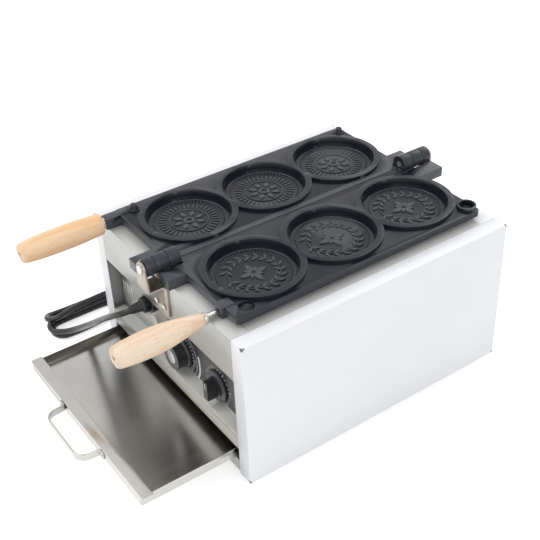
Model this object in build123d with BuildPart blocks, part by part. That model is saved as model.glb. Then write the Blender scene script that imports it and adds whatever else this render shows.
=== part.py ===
"""Coin bread maker: a counter-top box with two cast coin moulds that fold on one hinge line over
two heating elements, with wooden handles, a recessed control panel and a pull-out drip tray.

Millimetres. The front faces -Y, +Z is up, and the origin is on the counter under the housing's centre.
"""

import os
from math import pi, radians, tan

from build123d import *

# Housing
housing_width = 317.0
housing_depth = 361.0
housing_height = 186.0
foot_height = 10.0
foot_radius = 11.0
foot_inset = 32.0
foot_taper = 5.0
foot_screw_radius = 2.0
foot_screw_head = 2.5
sheet = 1.0
rim_width = 19.5
seam_gap = 0.3
ledge_depth = 22.0
ledge_fold = 12.0
back_rim = 22.0
pan_lip = 16.0
fold_radius = 0.9
vent_count = 9
vent_pitch = 14.0
vent_width = 4.0
vent_length = 50.0
vent_height = 80.0
fascia_height = 54.0

# Recessed control panel and the beam under it
recess_depth = 16.0
shelf_height = 56.0
beam_height = 19.0
beam_return = 12.0
label_thickness = 0.6
label_margin = 3.0
label_right_gap = 2.0
label_width = 160.0

# Heating chamber
chamber_front_y = -128.0
chamber_back_y = 162.0
chamber_sheet = 1.0
chamber_rim = 14.0
heater_tube = 8.0
heater_row_gap = 52.0
heater_drop = 18.0
heater_front_y = -142.0
heater_back_y = 142.0
strip_width = 14.0
strip_thickness = 1.5
strip_inset = 44.0
strip_drop = 14.0
terminal_length = 10.0
terminal_radius = 2.0

# Coin moulds
plate_width = 129.4
plate_front_y = -165.0
plate_back_y = 165.0
plate_thickness = 8.0
plate_corner = 4.0
cup_step = 2.5
hinge_half_gap = 0.6
face_clearance = 0.3
ring_height = 4.0
ring_wall = 7.5
coin_radius = 50.0
coin_depth = 10.5
coin_floor = 5.0
coin_draft = 2.5
coin_row_x = 66.0
coin_pitch = 105.0
coin_middle_y = 2.5
hinge_rise = 16.8

# Hinge
knuckle_radius = 10.5
pin_radius = 4.0
pin_clearance = 0.05
knuckle_gap = 0.6
inner_knuckle_start = 157.0
inner_knuckle_length = 14.0
middle_knuckle_length = 15.4
outer_knuckle_length = 11.0
arm_width = 20.0
arm_clearance = 1.5
arm_root = 8.0
bracket_thickness = 2.5
bracket_tab_radius = 8.5
bracket_foot_width = 34.0
bracket_foot_height = 38.0
bracket_foot_drop = 8.0
bracket_tab_width = 24.0
bracket_screw_head = 3.4
bracket_screw_shank = 2.0
screw_head_height = 2.0
pin_head_radius = 5.5
pin_head_length = 2.0
bracket_screw_inset = 9.0

# Handles
rod_radius = 4.0
handle_length = 100.0
left_neck_radius = 12.5
right_neck_radius = 7.0
left_waist_radius = 13.6
right_waist_radius = 9.4
handle_waist = 16.0
handle_belly_radius = 14.3
handle_belly = 62.0
handle_butt_radius = 12.0
butt_chamfer = 2.0
left_handle_x = 121.0
right_handle_x = 100.0
left_handle_drop = 9.3
right_handle_drop = 11.3
handle_start_y = -187.5
handle_arm_width = 13.0
rod_socket_depth = 14.0
short_boss = 4.0
boss_rise = 1.0
rod_in_wood = 70.0
ferrule_length = 4.0
ferrule_radius = 6.5

# Locating pegs and sockets
peg_radius = 5.5
peg_height = 7.5
peg_base = 2.0
peg_step = 2.0
peg_clearance = 1.2
peg_x = 117.0
peg_front_y = -146.0
peg_back_y = 156.0
socket_wall = 2.6
socket_depth = 3.0

# Drip tray
tray_out = 117.0
tray_side_gap = 3.7
tray_length = 322.0
tray_height = 12.0
tray_bottom_z = 32.0
tray_head_room = 8.0
rail_shelf = 9.0
rail_inset = 6.0
tray_lip_depth = 14.0
tray_lip_overhang = 3.0
tray_handle_span = 88.0
tray_handle_reach = 25.0
tray_handle_strip = 9.0
tray_handle_thickness = 2.0
tray_handle_bend = 13.0
tray_handle_fold = 2.0
tray_handle_tab = 9.0
tray_handle_lean = 2.0
rivet_radius = 2.6
rivet_height = 1.2
rivet_edge = 1.4

# Knobs, lamp and what they drive
knob_xs = (9.0, 82.0)
knob_rise = 23.0
skirt_radius = 19.0
skirt_thickness = 3.0
knob_gap = 1.0
grip_radius = 12.5
round_grip_radius = 16.5
grip_length = 13.0
grip_bar = 8.0
grip_base = 2.0
grip_edge = 1.2
shaft_radius = 3.0
shaft_fit = 0.05
shaft_hole_gap = 1.0
shaft_grip = 9.0
shaft_end_gap = 0.5
control_body_radius = 16.0
control_body_length = 24.0
lamp_beside_gland = 11.0
lamp_rise = 26.0
lamp_radius = 5.0
lamp_rim = 1.5
lamp_depth = 12.0
block_x = 100.0
block_rise = 52.0
block_pitch = 11.0
block_depth = 15.0
block_height = 18.0

# Cable gland, cord and plug
gland_x = -46.0
gland_drop = 12.5
gland_radius = 12.5
gland_neck_radius = 7.0
gland_neck_length = 8.0
gland_step = 3.5
gland_dome = 2.5
gland_label_gap = 1.0
gland_nut_length = 9.0
gland_flange_length = 12.0
cord_diameter = 7.5
hank_x = -229.0
hank_y = -166.0
hank_run = 92.0
hank_inner_bend = 18.5
hank_outer_bend = 26.0
hank_top_z = 11.3
tail_length = 42.0
plug_length = 46.0
plug_width = 38.0
plug_corner = 7.0
plug_neck_radius = 6.5
plug_neck_length = 14.0
plug_pin_radius = 2.4
pin_length = 19.0
pin_spacing = 19.0

# Places worked out from the sizes above
half_width = housing_width / 2
half_depth = housing_depth / 2
base_z = foot_height
pan_z = base_z + sheet
rim_z = base_z + housing_height
inner_half = half_width - rim_width - seam_gap
fascia_bottom = rim_z - fascia_height
panel_y = -half_depth + recess_depth
shelf_z = base_z + shelf_height
liner_x = inner_half - chamber_sheet
tray_half_width = liner_x - tray_side_gap
heater_z = rim_z - heater_drop
mating_z = rim_z + hinge_rise
left_handle_z = mating_z - left_handle_drop
right_handle_z = mating_z - right_handle_drop
knob_z = shelf_z + knob_rise
lamp_x = gland_x - lamp_beside_gland
lamp_z = shelf_z + lamp_rise
block_z = shelf_z + block_rise
gland_z = fascia_bottom - gland_drop
ring_top = mating_z - face_clearance
plate_top = ring_top - ring_height
plate_bottom = plate_top - plate_thickness
cup_bottom = ring_top - coin_depth - coin_floor
arm_bottom = rim_z + seam_gap
coin_ys = [coin_middle_y + step * coin_pitch for step in (-1, 0, 1)]
tray_front_y = -half_depth - tray_out
notch_x = knuckle_radius + arm_clearance
knuckle_middle_start = inner_knuckle_start + inner_knuckle_length + knuckle_gap
knuckle_outer_start = knuckle_middle_start + middle_knuckle_length + knuckle_gap
bracket_inner_y = knuckle_outer_start + outer_knuckle_length + knuckle_gap
bracket_shelf_z = rim_z - bracket_foot_drop
label_front_y = panel_y - sheet - label_thickness
gland_seat_y = panel_y - sheet
gland_mouth_y = gland_seat_y - gland_flange_length - gland_nut_length


def finish(block, label):
    """Labels a finished sub-part and writes its STEP file."""
    block.part.label = label
    export_step(block.part, f"parts/{label}.step")


def box_between(low, high, mode=Mode.ADD):
    """A box between two opposite corners, given in any order."""
    size = [abs(b - a) for a, b in zip(low, high)]
    middle = [(a + b) / 2 for a, b in zip(low, high)]
    with Locations(Location(tuple(middle))):
        Box(*size, mode=mode)


def rod_between(start_y, end_y, x, z, radius, mode=Mode.ADD):
    """A round bar along Y between two depths."""
    with Locations(Location((x, (start_y + end_y) / 2, z), (90, 0, 0))):
        Cylinder(radius, abs(end_y - start_y), mode=mode)


# Housing


def base_pan():
    """Floor plate with upturned edges, on the side panels' lower returns."""
    reach_x, reach_y = half_width - sheet - seam_gap, half_depth - sheet - seam_gap
    with BuildPart() as pan:
        box_between((-reach_x, -reach_y, pan_z), (reach_x, reach_y, pan_z + pan_lip))
        box_between(
            (-reach_x + sheet, -reach_y + sheet, pan_z + sheet),
            (reach_x - sheet, reach_y - sheet, pan_z + pan_lip),
            Mode.SUBTRACT,
        )
        with Locations(*[Location((x, y, pan_z)) for x, y in foot_spots()]):
            Cylinder(foot_screw_radius, 3 * sheet, mode=Mode.SUBTRACT)
    finish(pan, "base_pan")


def side_panel(side, label):
    """White folded side panel: an outer wall with returns round its four edges."""
    inner = side * (half_width - rim_width)
    with BuildPart() as panel:
        box_between((side * half_width, -half_depth, base_z), (inner, half_depth, rim_z))
        box_between(
            (side * (half_width - sheet), -half_depth + sheet, base_z + sheet),
            (inner, half_depth - sheet, rim_z - sheet),
            Mode.SUBTRACT,
        )
        upright = panel.edges().filter_by(Axis.Z).group_by(Axis.X)[0 if side < 0 else -1]
        fillet(upright.filter_by(lambda edge: edge.length > housing_height - 1), fold_radius)
    finish(panel, label)


def vents(count, pitch):
    """Places of the cooling slots across a panel."""
    return [(step - (count - 1) / 2) * pitch for step in range(count)]


def back_panel():
    """White back between the side panels, with a top return behind the moulds."""
    with BuildPart() as back:
        box_between((-inner_half, half_depth - sheet, pan_z + seam_gap), (inner_half, half_depth, rim_z))
        box_between((-inner_half, half_depth - back_rim, rim_z - sheet), (inner_half, half_depth, rim_z))
        slots = [Location((x, half_depth, base_z + vent_height)) for x in vents(vent_count, vent_pitch)]
        with Locations(*slots):
            Box(vent_width, 4 * sheet, vent_length, mode=Mode.SUBTRACT)
    finish(back, "back_panel")


def front_fascia():
    """Bright folded plate: the rail under the mould arms, the front face and a lower return."""
    face = -half_depth
    with BuildPart() as fascia:
        box_between((-inner_half, face, fascia_bottom), (inner_half, face + sheet, rim_z))
        box_between((-inner_half, face, rim_z - sheet), (inner_half, face + ledge_depth, rim_z))
        box_between(
            (-inner_half, face + ledge_depth - sheet, rim_z - ledge_fold),
            (inner_half, face + ledge_depth, rim_z),
        )
        box_between(
            (-inner_half, face, fascia_bottom),
            (inner_half, panel_y - sheet - seam_gap, fascia_bottom + sheet),
        )
    finish(fascia, "front_fascia")


def control_panel():
    """Recessed panel behind the knobs, with the shelf that runs forward onto the beam."""
    with BuildPart() as panel:
        box_between((-inner_half, panel_y - sheet, shelf_z), (inner_half, panel_y, rim_z - ledge_fold - 2))
        box_between((-inner_half, -half_depth + seam_gap, shelf_z), (inner_half, panel_y, shelf_z + sheet))
        for x in knob_xs:
            rod_between(panel_y - 3, panel_y + 3, x, knob_z, shaft_radius + shaft_hole_gap, Mode.SUBTRACT)
        rod_between(panel_y - 3, panel_y + 3, gland_x, gland_z, gland_neck_radius, Mode.SUBTRACT)
        rod_between(panel_y - 3, panel_y + 3, lamp_x, lamp_z, lamp_radius, Mode.SUBTRACT)
    finish(panel, "control_panel")


def label_plate():
    """Printed plate behind the knobs, on the panel's front."""
    right = inner_half - label_right_gap
    with BuildPart() as plate:
        box_between(
            (right - label_width, label_front_y, shelf_z + sheet + label_margin),
            (right, panel_y - sheet, fascia_bottom - label_margin),
        )
        for x in knob_xs:
            rod_between(label_front_y - 3, panel_y, x, knob_z, shaft_radius + shaft_hole_gap, Mode.SUBTRACT)
        rod_between(label_front_y - 3, panel_y, gland_x, gland_z, gland_radius + gland_label_gap, Mode.SUBTRACT)
    finish(plate, "control_label_plate")


def indicator_lamp():
    """Domed neon lamp beside the knobs."""
    with BuildPart() as lamp:
        rod_between(gland_seat_y, panel_y + lamp_depth, lamp_x, lamp_z, lamp_radius)
        rod_between(gland_seat_y - lamp_rim, gland_seat_y, lamp_x, lamp_z, lamp_radius + lamp_rim)
        fillet(lamp.edges().filter_by(GeomType.CIRCLE).group_by(Axis.Y)[0], lamp_rim / 2)
    finish(lamp, "indicator_lamp")


def front_beam():
    """Folded beam across the front, between the shelf and the tray's mouth."""
    top, low = shelf_z - seam_gap, shelf_z - seam_gap - beam_height
    with BuildPart() as beam:
        box_between((-inner_half, -half_depth, low), (inner_half, -half_depth + sheet, top))
        box_between((-inner_half, -half_depth, top - sheet), (inner_half, -half_depth + beam_return, top))
        box_between((-inner_half, -half_depth, low), (inner_half, -half_depth + beam_return, low + sheet))
    finish(beam, "front_beam")


def tray_rail(side, label):
    """Angle on the chamber wall that carries one edge of the tray."""
    outer, shelf_inner = side * liner_x, side * (tray_half_width - rail_shelf)
    top = tray_bottom_z - seam_gap
    front, back = panel_y + rail_inset, chamber_back_y - rail_inset
    with BuildPart() as rail:
        box_between((outer, front, pan_z + sheet), (side * (liner_x - sheet), back, top))
        box_between((outer, front, top - sheet), (shelf_inner, back, top))
    finish(rail, label)


def chamber():
    """Bright sheets round the heating elements: two long sides, a back and a front."""
    wall_top = rim_z - seam_gap
    top = wall_top - chamber_sheet
    wall_front = -half_depth + ledge_depth + seam_gap
    rim_back = half_depth - back_rim - seam_gap
    low_back = tray_bottom_z + tray_height + tray_head_room
    for side, name in ((-1, "left"), (1, "right")):
        with BuildPart() as wall:
            box_between((side * liner_x, wall_front, pan_z + sheet), (side * inner_half, chamber_back_y, top))
            box_between((side * (inner_half - chamber_rim), wall_front, top), (side * inner_half, rim_back, wall_top))
        finish(wall, f"chamber_{name}_wall")
    with BuildPart() as back_wall:
        box_between((-liner_x, chamber_back_y - chamber_sheet, low_back), (liner_x, chamber_back_y, top))
    finish(back_wall, "chamber_back_wall")
    with BuildPart() as front_wall:
        box_between((-liner_x, chamber_front_y - chamber_sheet, low_back), (liner_x, chamber_front_y, top))
        for leg_x in heater_legs():
            rod_between(
                chamber_front_y - 3, chamber_front_y + 3, leg_x, heater_z, heater_tube / 2, Mode.SUBTRACT
            )
    finish(front_wall, "chamber_front_wall")


def heater_legs():
    """X of the four straight legs of the two elements."""
    return [side * coin_row_x + leg * heater_row_gap / 2 for side in (-1, 1) for leg in (-1, 1)]


def heating_element(side, label):
    """U-shaped tubular element under one row of coins, with two terminals at its front."""
    middle, bend = side * coin_row_x, heater_row_gap / 2
    straight_end = heater_back_y - bend
    with BuildPart() as heater:
        with BuildLine() as route:
            out = Line((middle - bend, heater_front_y, heater_z), (middle - bend, straight_end, heater_z))
            turn = ThreePointArc(
                out @ 1, (middle, heater_back_y, heater_z), (middle + bend, straight_end, heater_z)
            )
            Line(turn @ 1, (middle + bend, heater_front_y, heater_z))
        with BuildSketch(Plane(origin=out @ 0, z_dir=out % 0)):
            Circle(heater_tube / 2)
        sweep(path=route.line)
        for leg in (-1, 1):
            rod_between(
                heater_front_y - terminal_length, heater_front_y, middle + leg * bend, heater_z, terminal_radius
            )
    finish(heater, label)


def heater_strips():
    """Two cross strips that carry the elements, turned down and fixed at each chamber wall."""
    top = heater_z - heater_tube / 2
    with BuildPart() as strips:
        for y in (heater_front_y + strip_inset, heater_back_y - strip_inset - strip_width):
            box_between((-liner_x, y, top - strip_thickness), (liner_x, y + strip_width, top))
            for side in (-1, 1):
                box_between(
                    (side * liner_x, y, top - strip_drop),
                    (side * (liner_x - strip_thickness), y + strip_width, top),
                )
    finish(strips, "heater_support_strips")


# Controls


def knob(x, grip, bar, label):
    """Skirted knob with a round grip or a gripping bar, bored for its shaft."""
    back = label_front_y - knob_gap
    front = back - skirt_thickness
    with BuildPart() as piece:
        rod_between(front, back, x, knob_z, skirt_radius)
        fillet(piece.edges().filter_by(GeomType.CIRCLE).group_by(Axis.Y)[0], skirt_thickness / 3)
        rod_between(front - grip_length, front, x, knob_z, grip)
        fillet(piece.edges().filter_by(GeomType.CIRCLE).group_by(Axis.Y)[0], grip_edge)
        for side in (-1, 1) if bar else ():
            box_between(
                (x + side * grip_bar / 2, front - grip_length - 1, knob_z - grip - 1),
                (x + side * (grip + 1), front - grip_base, knob_z + grip + 1),
                Mode.SUBTRACT,
            )
        rod_between(back - shaft_grip, back + 1, x, knob_z, shaft_radius + shaft_fit, Mode.SUBTRACT)
    finish(piece, label)


def control_body(x, label):
    """Timer or thermostat body behind the panel, with its shaft forward."""
    shaft_front = label_front_y - knob_gap - shaft_grip + shaft_end_gap
    with BuildPart() as body:
        rod_between(panel_y, panel_y + control_body_length, x, knob_z, control_body_radius)
        rod_between(shaft_front, panel_y, x, knob_z, shaft_radius)
    finish(body, label)


def terminal_block():
    """Ceramic terminal block on the back of the panel."""
    with BuildPart() as block:
        box_between(
            (block_x, panel_y, block_z),
            (block_x + 3 * block_pitch, panel_y + block_depth, block_z + block_height),
        )
        for step in range(3):
            with Locations(
                Location((block_x + (step + 0.5) * block_pitch, panel_y + block_depth / 2, block_z + block_height))
            ):
                Cylinder(block_pitch / 5, block_height / 2, mode=Mode.SUBTRACT)
    finish(block, "terminal_block")


# Coin moulds


def knuckle_spans(end):
    """Depths of the inner, middle and outer knuckles at the front (-1) or the back (1)."""
    starts = (inner_knuckle_start, knuckle_middle_start, knuckle_outer_start)
    lengths = (inner_knuckle_length, middle_knuckle_length, outer_knuckle_length)
    return [(end * start, end * (start + length)) for start, length in zip(starts, lengths)]


def owns_outer(side, end):
    """The left mould has the outer and inner knuckles at the front, and the right one at the back."""
    return side * end > 0


def hinge_end(side, end):
    """Arm, webs and knuckles of one mould at one end of the hinge line, or the notch for the other's."""
    inner, middle, outer = knuckle_spans(end)
    mine = [inner, outer] if owns_outer(side, end) else [middle]
    tip = mine[-1][1]
    edge = plate_front_y if end < 0 else plate_back_y
    if not owns_outer(side, end):
        box_between(
            (0, end * (inner_knuckle_start - arm_clearance), cup_bottom - 1),
            (side * notch_x, edge + end, mating_z),
            Mode.SUBTRACT,
        )
    box_between(
        (side * notch_x, edge - end * arm_root, arm_bottom), (side * (notch_x + arm_width), tip, plate_top)
    )
    for span in mine:
        box_between((0, span[0], mating_z - knuckle_radius), (side * (notch_x + 1), span[1], plate_top))
        rod_between(span[0], span[1], 0, mating_z, knuckle_radius)


def coin_rims(side):
    """Raised rims and rounded cups of three coins."""
    spots = [Location((side * coin_row_x, y)) for y in coin_ys]
    outer = coin_radius + ring_wall
    with BuildSketch(Plane.XY.offset(plate_bottom)) as rims:
        with Locations(*spots):
            Circle(outer)
    extrude(rims.sketch, amount=ring_top - plate_bottom)
    with BuildSketch(Plane.XY.offset(cup_bottom)) as cups:
        with Locations(*spots):
            Circle(outer - cup_step)
    extrude(cups.sketch, amount=plate_bottom - cup_bottom)


def coin_pockets(side):
    """Drafted hollows that give the coins their shape."""
    for y in coin_ys:
        with Locations(Location((side * coin_row_x, y, ring_top - coin_depth / 2))):
            Cone(coin_radius - coin_draft, coin_radius, coin_depth, mode=Mode.SUBTRACT)


def mould(side, label):
    """One cast mould: plate, coin cups, hinge arms, handle boss, and pegs or sockets."""
    with BuildPart() as half:
        box_between(
            (side * hinge_half_gap, plate_front_y, plate_bottom),
            (side * (hinge_half_gap + plate_width), plate_back_y, plate_top),
        )
        outer_corners = half.edges().filter_by(Axis.Z).group_by(Axis.X)[0 if side < 0 else -1]
        fillet(outer_corners, plate_corner)
        coin_rims(side)
        hinge_end(side, -1)
        hinge_end(side, 1)
        handle_boss(side)
        for y in (peg_front_y, peg_back_y):
            if side < 0:
                locating_peg(y)
            else:
                locating_socket(y)
        coin_pockets(side)
        for end in (-1, 1):
            spans = knuckle_spans(end)
            rod_between(
                spans[0][0] - end * 2, spans[2][1] + end, 0, mating_z, pin_radius + pin_clearance, Mode.SUBTRACT
            )
        rod_between(
            boss_front_y(side) - 1, rod_inner_y(side), handle_x(side), handle_z(side), rod_radius, Mode.SUBTRACT
        )
    finish(half, label)


def handle_x(side):
    """X of the handle on one side."""
    return -left_handle_x if side < 0 else right_handle_x


def handle_z(side):
    """Height of the handle on one side."""
    return left_handle_z if side < 0 else right_handle_z


def boss_front_y(side):
    """Front end of the handle boss: the left mould has a long lug, the right one a short boss."""
    return handle_start_y + ferrule_length if side < 0 else plate_front_y - short_boss


def rod_inner_y(side):
    """Inner end of the handle rod."""
    return boss_front_y(side) + rod_socket_depth


def handle_boss(side):
    """Lug or boss that takes the handle rod."""
    centre = handle_x(side)
    box_between(
        (centre - handle_arm_width / 2, boss_front_y(side), arm_bottom),
        (centre + handle_arm_width / 2, plate_front_y + arm_root + short_boss, plate_top + boss_rise),
    )


def locating_peg(y):
    """Conical peg on the left mould, on its round base."""
    with Locations(Location((-peg_x, y, plate_top + peg_base / 2))):
        Cylinder(peg_radius + peg_step, peg_base)
    with Locations(Location((-peg_x, y, (plate_top + peg_base + plate_top + peg_height) / 2))):
        Cone(peg_radius, peg_radius - peg_step, peg_height - peg_base)


def locating_socket(y):
    """Blind hole for the peg, with a raised collar at the back one."""
    inner = peg_radius + peg_step + peg_clearance
    if y > 0:
        with Locations(Location((peg_x, y, plate_top + ring_height / 2))):
            Cylinder(inner + socket_wall, ring_height)
    with Locations(Location((peg_x, y, plate_top + ring_height))):
        Cylinder(inner, 2 * (ring_height + socket_depth), mode=Mode.SUBTRACT)


# Hinge brackets and pins


def hinge_bracket(end, label):
    """Bent bracket: a foot on the housing, a shelf outwards and an upright tab for the pin."""
    face = end * half_depth
    tab_outer = end * (bracket_inner_y + bracket_thickness)
    with BuildPart() as bracket:
        box_between(
            (-bracket_foot_width / 2, face, bracket_shelf_z - bracket_foot_height),
            (bracket_foot_width / 2, face + end * bracket_thickness, bracket_shelf_z),
        )
        box_between(
            (-bracket_tab_width / 2, face, bracket_shelf_z - bracket_thickness),
            (bracket_tab_width / 2, tab_outer, bracket_shelf_z),
        )
        with BuildSketch(Plane.XZ.offset(-tab_outer)) as tab:
            with Locations((0, bracket_shelf_z - bracket_thickness / 2)):
                Rectangle(bracket_tab_width, bracket_thickness)
            with Locations((0, mating_z)):
                Circle(bracket_tab_radius)
            make_hull()
            with Locations((0, mating_z)):
                Circle(pin_radius, mode=Mode.SUBTRACT)
        extrude(tab.sketch, amount=end * bracket_thickness)
        for x in bracket_screw_xs():
            rod_between(
                face - end, face + end * (bracket_thickness + 1), x, bracket_screw_z(), bracket_screw_shank, Mode.SUBTRACT
            )
    finish(bracket, label)


def bracket_screw_xs():
    """X of the two screws in each bracket's foot."""
    return (-bracket_foot_width / 2 + bracket_screw_inset, bracket_foot_width / 2 - bracket_screw_inset)


def bracket_screw_z():
    """Height of the bracket screws."""
    return bracket_shelf_z - bracket_foot_height + bracket_screw_inset


def hinge_pin(end, label):
    """Pin through the bracket and the three knuckles, with a head outside."""
    outer = end * (bracket_inner_y + bracket_thickness)
    with BuildPart() as pin:
        rod_between(end * inner_knuckle_start, outer, 0, mating_z, pin_radius)
        rod_between(outer, outer + end * pin_head_length, 0, mating_z, pin_head_radius)
        fillet(pin.edges().filter_by(GeomType.CIRCLE).group_by(Axis.Y)[0 if end < 0 else -1], pin_head_length / 3)
    finish(pin, label)


def bracket_screws():
    """Four screws that hold the two brackets."""
    with BuildPart() as screws:
        for end in (-1, 1):
            outer = end * (half_depth + bracket_thickness)
            for x in bracket_screw_xs():
                rod_between(outer, outer + end * screw_head_height, x, bracket_screw_z(), bracket_screw_head)
                rod_between(end * half_depth, outer, x, bracket_screw_z(), bracket_screw_shank)
    finish(screws, "bracket_screws")


# Handles


def handle_rod(side, label):
    """Steel rod from the casting into the wood, with a collar at the neck."""
    x, z = handle_x(side), handle_z(side)
    collar_back = handle_start_y + ferrule_length
    with BuildPart() as rod:
        rod_between(rod_inner_y(side), handle_start_y - rod_in_wood, x, z, rod_radius)
        rod_between(collar_back, handle_start_y, x, z, ferrule_radius)
    finish(rod, label)


def wooden_handle(side, label):
    """Turned wooden grip, bored for its rod."""
    neck = Plane(
        origin=(handle_x(side), handle_start_y, handle_z(side)), x_dir=(1, 0, 0), z_dir=(0, 0, 1)
    )
    neck_radius = left_neck_radius if side < 0 else right_neck_radius
    waist_radius = left_waist_radius if side < 0 else right_waist_radius
    with BuildPart() as grip:
        with BuildSketch(neck):
            with BuildLine():
                Line((0, 0), (neck_radius, 0))
                swell = Spline(
                    (neck_radius, 0),
                    (waist_radius, -handle_waist),
                    (handle_belly_radius, -handle_belly),
                    (handle_butt_radius, -handle_length + butt_chamfer),
                )
                chamfer_line = Line(swell @ 1, (handle_butt_radius - butt_chamfer, -handle_length))
                Line(chamfer_line @ 1, (0, -handle_length))
                Line((0, -handle_length), (0, 0))
            make_face()
        revolve(axis=Axis(neck.origin, (0, 1, 0)))
        rod_between(
            handle_start_y + 1, handle_start_y - rod_in_wood, handle_x(side), handle_z(side), rod_radius, Mode.SUBTRACT
        )
    finish(grip, label)


# Drip tray


def drip_tray():
    """Shallow pan with a wide front lip."""
    back, x = tray_front_y + tray_length, tray_half_width
    low, top = tray_bottom_z, tray_bottom_z + tray_height
    with BuildPart() as tray:
        box_between((-x, tray_front_y, low), (x, back, top))
        box_between(
            (-x + sheet, tray_front_y + sheet, low + sheet), (x - sheet, back - sheet, top), Mode.SUBTRACT
        )
        for side in (-1, 1):
            box_between(
                (side * (x - sheet), tray_front_y, top - sheet),
                (side * (x + tray_lip_overhang), tray_front_y + tray_lip_depth, top),
            )
        box_between((-x, tray_front_y, top - sheet), (x, tray_front_y + tray_lip_depth, top))
    finish(tray, "drip_tray")


def tray_handle():
    """Bow handle bent from a flat strip, with a tab at each end."""
    half, front = tray_handle_span / 2, tray_front_y - tray_handle_reach
    seat = tray_front_y - tray_handle_thickness / 2
    middle_z = tray_bottom_z + tray_height / 2
    with BuildPart() as bow:
        with BuildLine() as line:
            FilletPolyline(
                (-half - tray_handle_tab, seat),
                (-half, seat),
                (-half + tray_handle_lean, front),
                (half - tray_handle_lean, front),
                (half, seat),
                (half + tray_handle_tab, seat),
                radius=[tray_handle_fold, tray_handle_bend, tray_handle_bend, tray_handle_fold],
            )
        with BuildSketch(Plane(origin=line.line @ 0, x_dir=(0, 1, 0), z_dir=line.line % 0)) as strip:
            Rectangle(tray_handle_thickness, tray_handle_strip)
        sweep(strip.sketch, path=line.line)
    bow.part = bow.part.moved(Location((0, 0, middle_z)))
    finish(bow, "tray_handle")


def tray_handle_rivets():
    """Rivet heads on the handle's two tabs."""
    outer = tray_front_y - tray_handle_thickness
    middle_z = tray_bottom_z + tray_height / 2
    with BuildPart() as rivets:
        for side in (-1, 1):
            x = side * (tray_handle_span / 2 + tray_handle_tab - rivet_radius - rivet_edge)
            rod_between(outer - rivet_height, outer, x, middle_z, rivet_radius)
    finish(rivets, "tray_handle_rivets")


# Feet


def foot_spots():
    """Centres of the four feet."""
    x, y = half_width - foot_inset, half_depth - foot_inset
    return [(sx * x, sy * y) for sx in (-1, 1) for sy in (-1, 1)]


def rubber_feet():
    """Four tapered rubber feet under the base pan."""
    with BuildPart() as feet:
        with BuildSketch(Plane.XY) as pads:
            with Locations(*foot_spots()):
                Circle(foot_radius)
        extrude(pads.sketch, amount=pan_z, taper=-foot_taper)
    finish(feet, "rubber_feet")


def foot_screws():
    """Screws that hold the feet, with their heads inside the pan."""
    head = foot_screw_head
    with BuildPart() as screws:
        for x, y in foot_spots():
            with Locations(Location((x, y, pan_z + sheet / 2))):
                Cylinder(foot_screw_radius, sheet)
            with Locations(Location((x, y, pan_z + sheet + head / 2))):
                Cylinder(foot_screw_radius * 2, head)
    finish(screws, "foot_screws")


# Cable gland, cord and plug


def cable_gland():
    """Gland body through the panel, and the domed nut that grips the cord."""
    with BuildPart() as body:
        rod_between(gland_seat_y - gland_flange_length, gland_seat_y, gland_x, gland_z, gland_radius)
        rod_between(gland_seat_y, panel_y + gland_neck_length, gland_x, gland_z, gland_neck_radius)
        rod_between(
            gland_seat_y - gland_flange_length - 1,
            panel_y + gland_neck_length + 1,
            gland_x,
            gland_z,
            cord_diameter / 2,
            Mode.SUBTRACT,
        )
    finish(body, "gland_body")
    with BuildPart() as nut:
        rod_between(gland_mouth_y, gland_seat_y - gland_flange_length, gland_x, gland_z, gland_radius - gland_step)
        fillet(nut.edges().filter_by(GeomType.CIRCLE).group_by(Axis.Y)[0], gland_dome)
        rod_between(
            gland_mouth_y - 1, gland_seat_y - gland_flange_length + 1, gland_x, gland_z, cord_diameter / 2, Mode.SUBTRACT
        )
    finish(nut, "gland_nut")


def tangent_radii(points):
    """Largest tangent arcs that the runs of a route allow."""
    corners = [Vector(*point) for point in points]
    radii = []
    for before, here, after in zip(corners, corners[1:], corners[2:]):
        first, second = here - before, after - here
        turn = radians(first.get_angle(second))
        radii.append(0.45 * min(first.length, second.length) / tan(turn / 2))
    return radii


def mains_cord():
    """Round cord from the gland down to the hank on the counter."""
    points = [
        (gland_x, gland_mouth_y, gland_z),
        (-47, -203, 128),
        (-66, -213, 116),
        (-103, -213, 88),
        (-145, -209, 53),
        (-180, -204, 27),
        (hank_x + hank_outer_bend, -208, hank_top_z + cord_diameter + 0.1),
    ]
    radii = tangent_radii(points)
    print("cord arcs", [round(radius, 1) for radius in radii])
    with BuildPart() as cord:
        with BuildLine() as route:
            FilletPolyline(*points, radius=radii)
        with BuildSketch(Plane(origin=route.line @ 0, z_dir=route.line % 0)):
            Circle(cord_diameter / 2)
        sweep(path=route.line)
    length = route.wires()[0].length
    tube_volume = pi * (cord_diameter / 2) ** 2 * length
    print("cord length", round(length, 1), "volume ratio", round(cord.part.volume / tube_volume, 4))
    finish(cord, "mains_cord")


def cord_hank():
    """Outer shape of the folded cord beside the housing."""
    outer, inner = hank_outer_bend + cord_diameter / 2, hank_inner_bend - cord_diameter / 2
    with BuildPart() as hank:
        with BuildSketch(Plane.XY) as ring:
            with Locations(Location((hank_x, hank_y), 90)):
                SlotCenterToCenter(hank_run, 2 * outer)
                SlotCenterToCenter(hank_run, 2 * inner, mode=Mode.SUBTRACT)
        extrude(ring.sketch, amount=hank_top_z + cord_diameter / 2)
    finish(hank, "cord_hank")


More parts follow.
